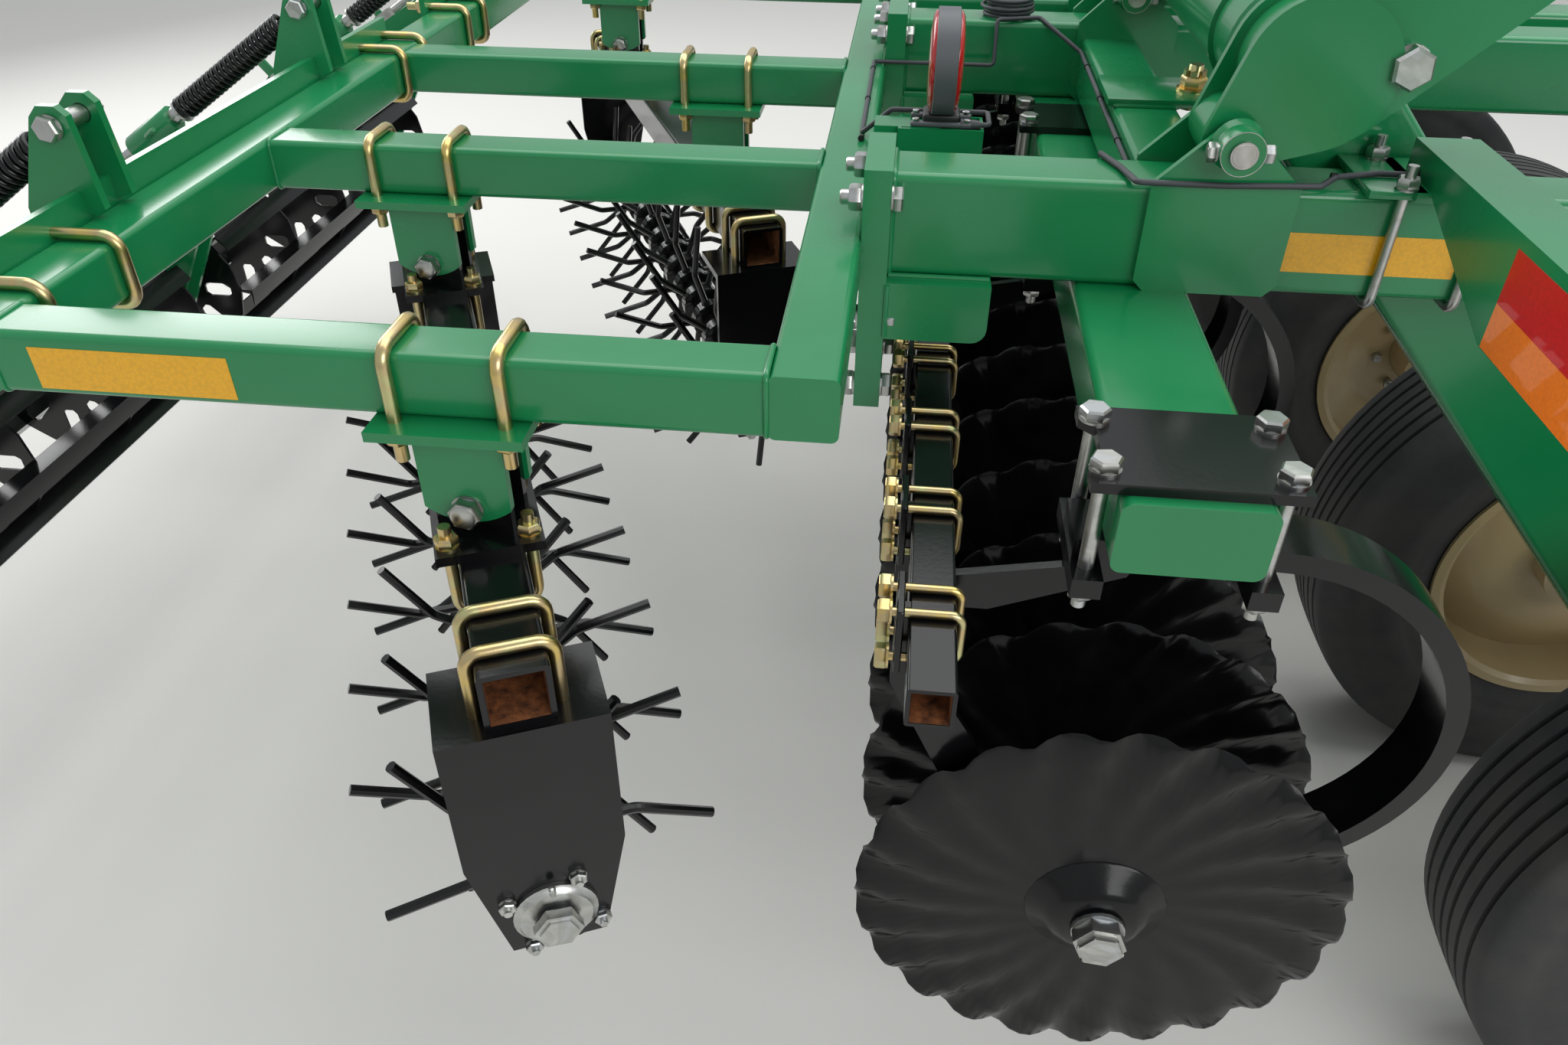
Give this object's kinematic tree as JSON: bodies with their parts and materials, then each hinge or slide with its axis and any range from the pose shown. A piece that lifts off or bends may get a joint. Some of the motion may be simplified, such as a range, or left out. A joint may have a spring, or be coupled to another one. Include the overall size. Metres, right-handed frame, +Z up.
{
  "type": "rigid vertical tillage tool",
  "caption": "Towed tillage frame on paired wheels with rows of wavy coulter blades, angled spike reels and rolling baskets behind, lifted by a rockshaft.",
  "frame": {"origin": "on the floor, midway between the rear of the rolling baskets and the nose of the hitch, on the machine's centreline", "axes": "+X forward to the hitch, +Y to the machine's left, +Z up"},
  "size_m": [7.84, 3.43, 1.8339],
  "materials": {
    "green_paint": "gloss",
    "black_paint": "gloss",
    "tan_paint": "satin",
    "plated_steel": "satin",
    "chromed_rod": "gloss",
    "tyre": "matt",
    "red_lens": "gloss"
  },
  "bodies": {
    "frame": {"ladder_bars": "green_paint", "ladder_rails": "green_paint", "ladder_flanges": "green_paint", "main_flanges": "green_paint", "main_tubes": "green_paint", "cross_tubes": "green_paint", "gang_beams": "green_paint", "coulter_shanks": "black_paint", "shank_clamps": "black_paint", "scraper_bars": "black_paint", "spike_gang_tubes": "black_paint", "reel_brackets": "green_paint", "reel_yokes": "black_paint", "reel_standards": "black_paint", "basket_lugs": "green_paint", "basket_arms": "green_paint", "basket_carriers": "green_paint", "basket_standards": "green_paint", "basket_springs": "black_paint", "pivot_brackets": "green_paint", "hinge_pins": "plated_steel", "cylinder_anchors": "green_paint", "tongue_ears": "green_paint", "tongue_tube": "green_paint", "tongue_braces": "green_paint", "level_turnbuckle": "green_paint", "hitch_clevis": "black_paint", "jack_body": "green_paint", "lamp_posts": "green_paint", "warning_lamps": "red_lens", "light_brackets": "green_paint"},
    "rockshaft": {"rockshaft": "green_paint", "rockshaft_hubs": "green_paint", "lift_cranks": "green_paint", "wheel_arms": "green_paint", "axle_spindles": "plated_steel"},
    "right_wheels": {"right_tyres": "tyre", "right_rims": "tan_paint"},
    "left_wheels": {"left_tyres": "tyre", "left_rims": "tan_paint"},
    "front_right_gang": {"front_right_gang": "black_paint"},
    "front_left_gang": {"front_left_gang": "black_paint"},
    "rear_right_gang": {"rear_right_gang": "black_paint"},
    "rear_left_gang": {"rear_left_gang": "black_paint"},
    "spike_reel_a": {"spike_reel_a": "black_paint"},
    "spike_reel_b": {"spike_reel_b": "black_paint"},
    "right_basket": {"right_basket": "black_paint"},
    "left_basket": {"left_basket": "black_paint"},
    "right_barrel": {"cylinder_barrel_right": "black_paint"},
    "left_barrel": {"cylinder_barrel_left": "black_paint"},
    "right_rod": {"cylinder_rod_right": "chromed_rod"},
    "left_rod": {"cylinder_rod_left": "chromed_rod"},
    "jack_leg": {"jack_leg": "plated_steel"}
  },
  "joints": [
    {"name": "rockshaft_lift", "type": "hinge", "parent": "frame", "child": "rockshaft", "pos_m": [-1.479, 0, 1.502], "axis": [0, 1, 0], "range_deg": [-20, 0]},
    {"name": "right_wheels_spin", "type": "hinge", "parent": "rockshaft", "child": "right_wheels", "pos_m": [-0.45, -0.859, 0.521], "axis": [0, 1, 0], "continuous": true},
    {"name": "left_wheels_spin", "type": "hinge", "parent": "rockshaft", "child": "left_wheels", "pos_m": [-0.45, 0.859, 0.521], "axis": [0, 1, 0], "continuous": true},
    {"name": "rear_right_gang_spin", "type": "hinge", "parent": "frame", "child": "rear_right_gang", "pos_m": [-1.572, -0.787, 0.7], "axis": [0, 1, 0], "continuous": true},
    {"name": "rear_left_gang_spin", "type": "hinge", "parent": "frame", "child": "rear_left_gang", "pos_m": [-1.572, 0.832, 0.7], "axis": [0, 1, 0], "continuous": true},
    {"name": "front_right_gang_spin", "type": "hinge", "parent": "frame", "child": "front_right_gang", "pos_m": [1.3, -0.787, 0.7], "axis": [0, 1, 0], "continuous": true},
    {"name": "front_left_gang_spin", "type": "hinge", "parent": "frame", "child": "front_left_gang", "pos_m": [1.3, 0.737, 0.7], "axis": [0, 1, 0], "continuous": true},
    {"name": "spike_reel_a_spin", "type": "hinge", "parent": "frame", "child": "spike_reel_a", "pos_m": [-2.23232, -1.662, 0.759], "axis": [-0.4027, 0.9153, 0], "continuous": true},
    {"name": "spike_reel_b_spin", "type": "hinge", "parent": "frame", "child": "spike_reel_b", "pos_m": [-2.12696, -0.456, 0.759], "axis": [-0.4027, 0.9153, 0], "continuous": true},
    {"name": "right_basket_spin", "type": "hinge", "parent": "frame", "child": "right_basket", "pos_m": [-3.72, -0.737, 0.69], "axis": [0, 1, 0], "continuous": true},
    {"name": "left_basket_spin", "type": "hinge", "parent": "frame", "child": "left_basket", "pos_m": [-3.72, 0.737, 0.69], "axis": [0, 1, 0], "continuous": true},
    {"name": "right_barrel_swing", "type": "hinge", "parent": "frame", "child": "right_barrel", "pos_m": [-0.25, -0.983, 1.506], "axis": [0, 1, 0], "range_deg": [0, 3.72]},
    {"name": "right_rod_slide", "type": "slide", "parent": "right_barrel", "child": "right_rod", "axis": [-0.9485, 0, 0.3169], "range_m": [0, 0.1529]},
    {"name": "left_barrel_swing", "type": "hinge", "parent": "frame", "child": "left_barrel", "pos_m": [-0.25, 0.983, 1.506], "axis": [0, 1, 0], "range_deg": [0, 3.72]},
    {"name": "left_rod_slide", "type": "slide", "parent": "left_barrel", "child": "left_rod", "axis": [-0.9485, 0, 0.3169], "range_m": [0, 0.1529]},
    {"name": "jack_leg_slide", "type": "slide", "parent": "frame", "child": "jack_leg", "axis": [0, 0, 1], "range_m": [0, 0.3]}
  ],
  "couplings": [
    {"joint": "right_barrel_swing", "follows": "rockshaft_lift", "ratio": -0.18586},
    {"joint": "right_rod_slide", "follows": "rockshaft_lift", "m_per_rad": -0.43798},
    {"joint": "left_barrel_swing", "follows": "rockshaft_lift", "ratio": -0.18586},
    {"joint": "left_rod_slide", "follows": "rockshaft_lift", "m_per_rad": -0.43798}
  ]
}
